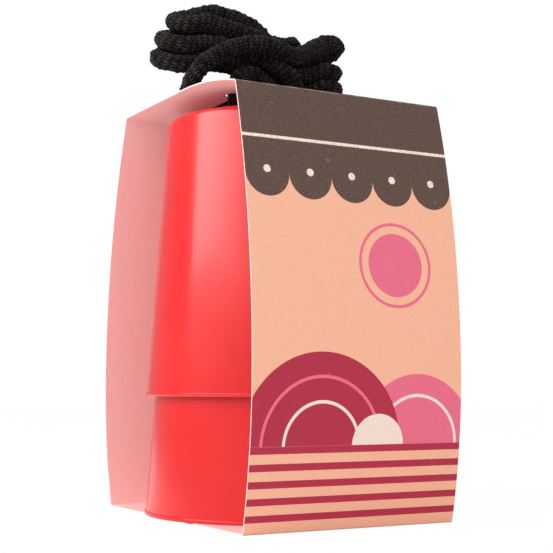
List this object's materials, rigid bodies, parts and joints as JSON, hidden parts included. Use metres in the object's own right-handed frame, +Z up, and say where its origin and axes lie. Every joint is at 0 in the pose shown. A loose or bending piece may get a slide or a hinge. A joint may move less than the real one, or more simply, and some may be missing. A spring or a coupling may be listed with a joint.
{
  "type": "can stilts",
  "caption": "Pair of nested tapered cup stilts for a child, with a knotted carrying cord tied in a hank, held upright in a folded card sleeve.",
  "frame": {"origin": "under the middle of the sleeve, on the surface that it stands on", "axes": "+Z up; +X along the front panel, towards the end where the cord slot opens; the front panel faces -Y"},
  "size_m": [0.1233, 0.1578, 0.2438],
  "materials": {
    "cup_plastic": "semi-gloss moulded",
    "sleeve_card": "printed matt card",
    "cord_black": "knitted"
  },
  "bodies": {
    "sleeve": {"card_sleeve": "sleeve_card"},
    "lower_stilt": {"lower_cup": "cup_plastic"},
    "upper_stilt": {"upper_cup": "cup_plastic", "cord_knot_in": "cord_black", "cord_knot_out": "cord_black", "cord_lead_in": "cord_black", "cord_lead_out": "cord_black", "cord_hank": "cord_black"}
  },
  "joints": [
    {"name": "stilts_slide", "type": "slide", "parent": "sleeve", "child": "lower_stilt", "axis": [1, 0, 0], "range_m": [0, 0.118]},
    {"name": "upper_stilt_lift", "type": "slide", "parent": "lower_stilt", "child": "upper_stilt", "axis": [0, 0, 1], "range_m": [0, 0.005]}
  ]
}
